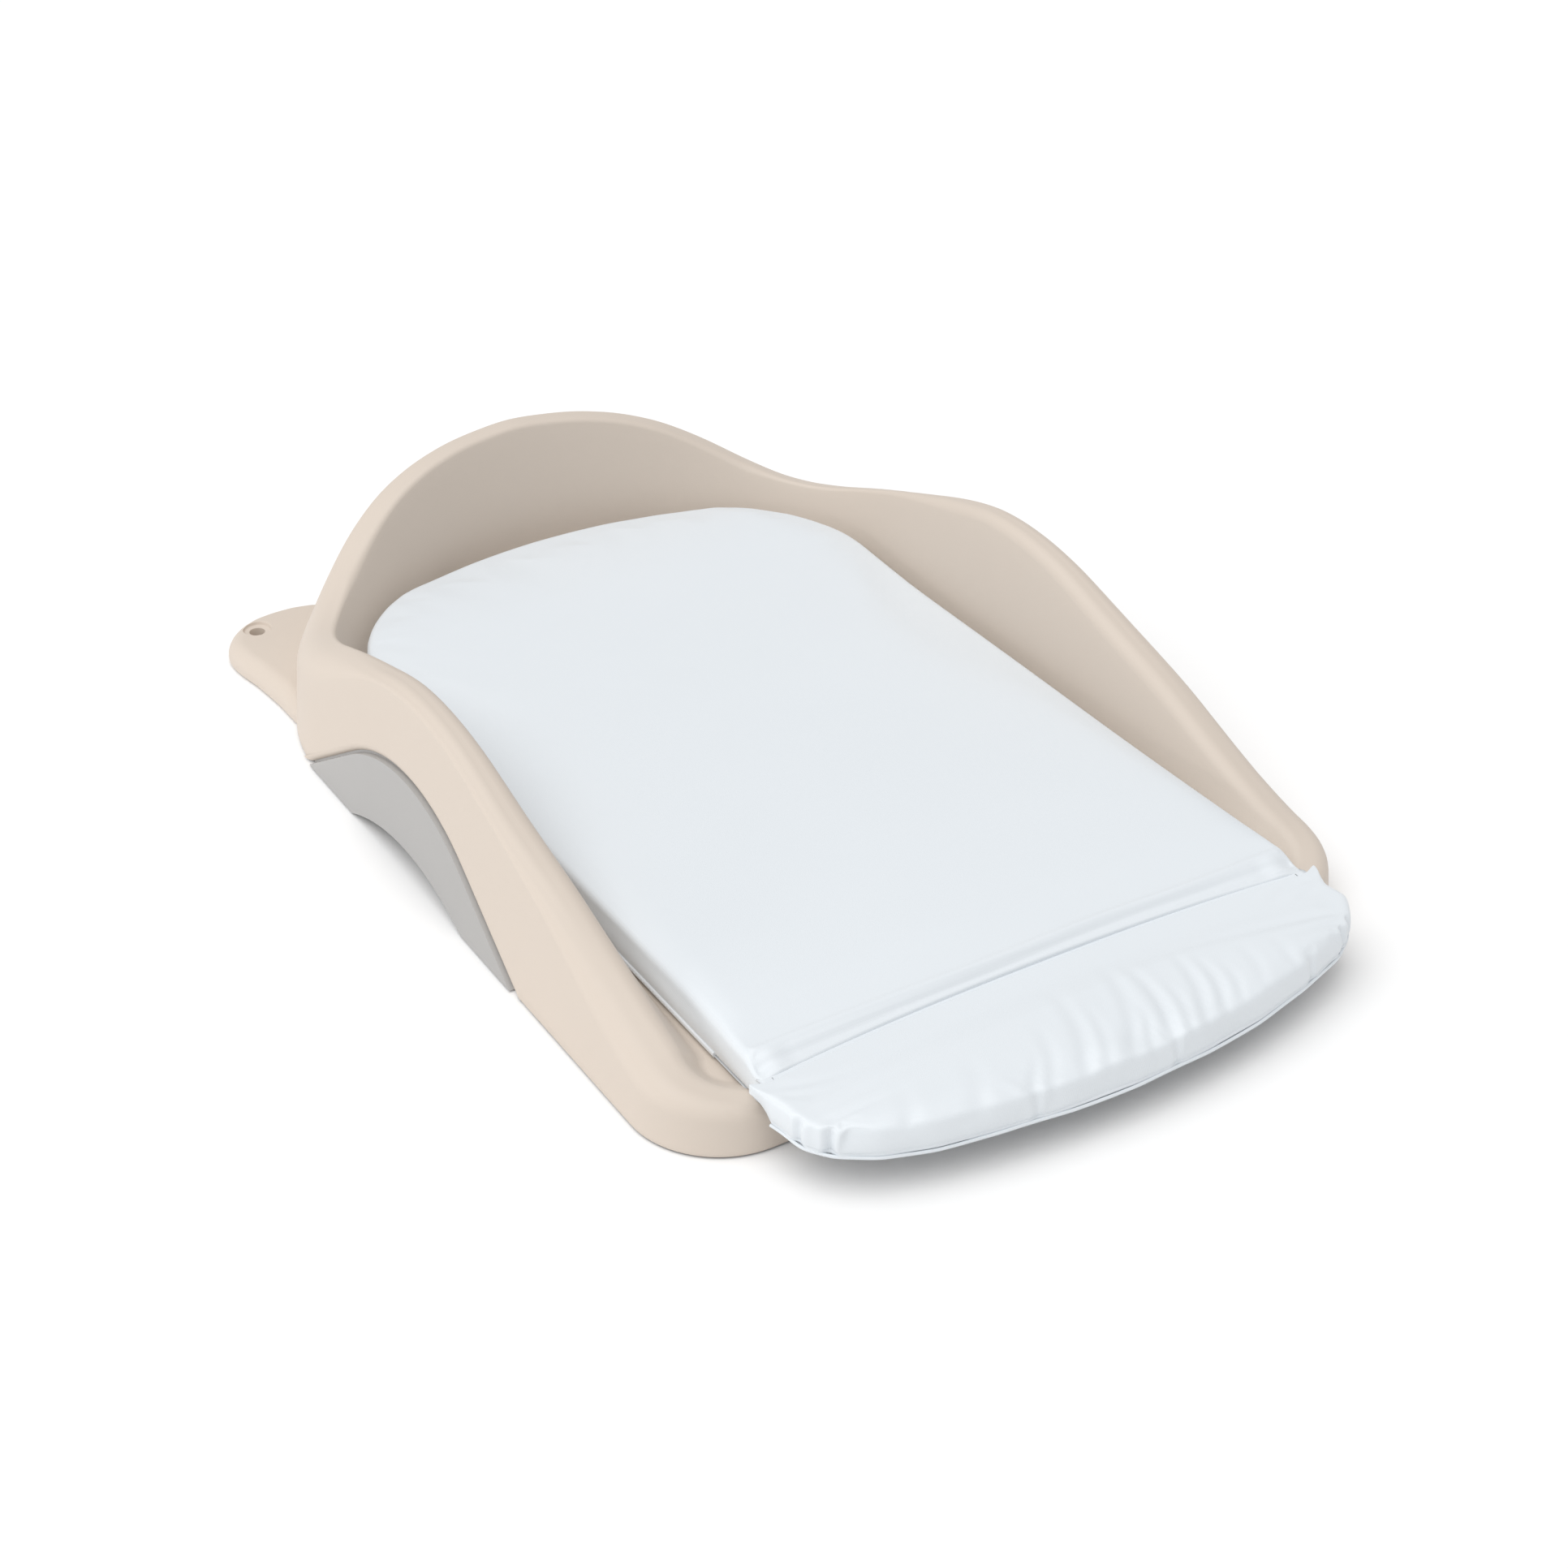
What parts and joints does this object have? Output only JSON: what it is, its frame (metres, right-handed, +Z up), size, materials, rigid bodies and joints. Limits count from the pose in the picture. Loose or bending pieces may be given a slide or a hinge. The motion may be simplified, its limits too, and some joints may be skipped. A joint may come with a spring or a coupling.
{
  "type": "changing pad",
  "caption": "Moulded changing pad shell with raised side wings and a high head wall, side feet, a lift-out padded mattress and a folding padded flap.",
  "frame": {"origin": "centre of the overall box, on the surface the pad stands on", "axes": "+Y towards the head end, +Z up, +X across"},
  "size_m": [0.527, 0.8264, 0.1335],
  "materials": {
    "shell_plastic": "fine satin grain",
    "foot_plastic": "matt",
    "screw_steel": "zinc plated",
    "black_rubber": "matt",
    "hook_tape": "hook tape",
    "loop_tape": "loop tape",
    "coated_cloth": "smooth satin coating",
    "base_cloth": "woven",
    "foam": "open-cell foam",
    "edge_tape": "folded tape",
    "zip_cloth": "woven tape",
    "zip_plastic": "nylon coil",
    "zip_metal": "white enamel",
    "label_cloth": "satin ribbon, blank"
  },
  "bodies": {
    "shell": {"base_shell": "shell_plastic", "left_side_foot": "foot_plastic", "right_side_foot": "foot_plastic", "side_foot_screws": "screw_steel", "side_foot_soles": "black_rubber", "deck_rubber_pads": "black_rubber", "deck_hook_patches": "hook_tape"},
    "mattress": {"mattress_core": "foam", "mattress_cover_top": "coated_cloth", "mattress_cover_base": "base_cloth", "mattress_edge_binding": "edge_tape", "mattress_loop_patches": "loop_tape", "zip_tape": "zip_cloth", "zip_coil": "zip_plastic", "zip_end_stops": "zip_metal", "care_label": "label_cloth", "flap_hinge_web": "coated_cloth"},
    "flap": {"flap_cover_top": "coated_cloth", "flap_core": "foam", "flap_cover_base": "base_cloth", "flap_edge_binding": "edge_tape"},
    "zip_slider": {"zip_slider": "zip_metal"}
  },
  "joints": [
    {"name": "mattress_lift_out", "type": "slide", "parent": "shell", "child": "mattress", "axis": [0, 0, 1], "range_m": [0, 0.2]},
    {"name": "flap_fold", "type": "hinge", "parent": "mattress", "child": "flap", "pos_m": [0, -0.324, 0.0495], "axis": [-1, 0, 0], "range_deg": [-10, 150]},
    {"name": "zip_travel", "type": "hinge", "parent": "mattress", "child": "zip_slider", "pos_m": [0, -0.05, 0.045], "axis": [0, 0, -1], "range_deg": [0, 24]}
  ]
}
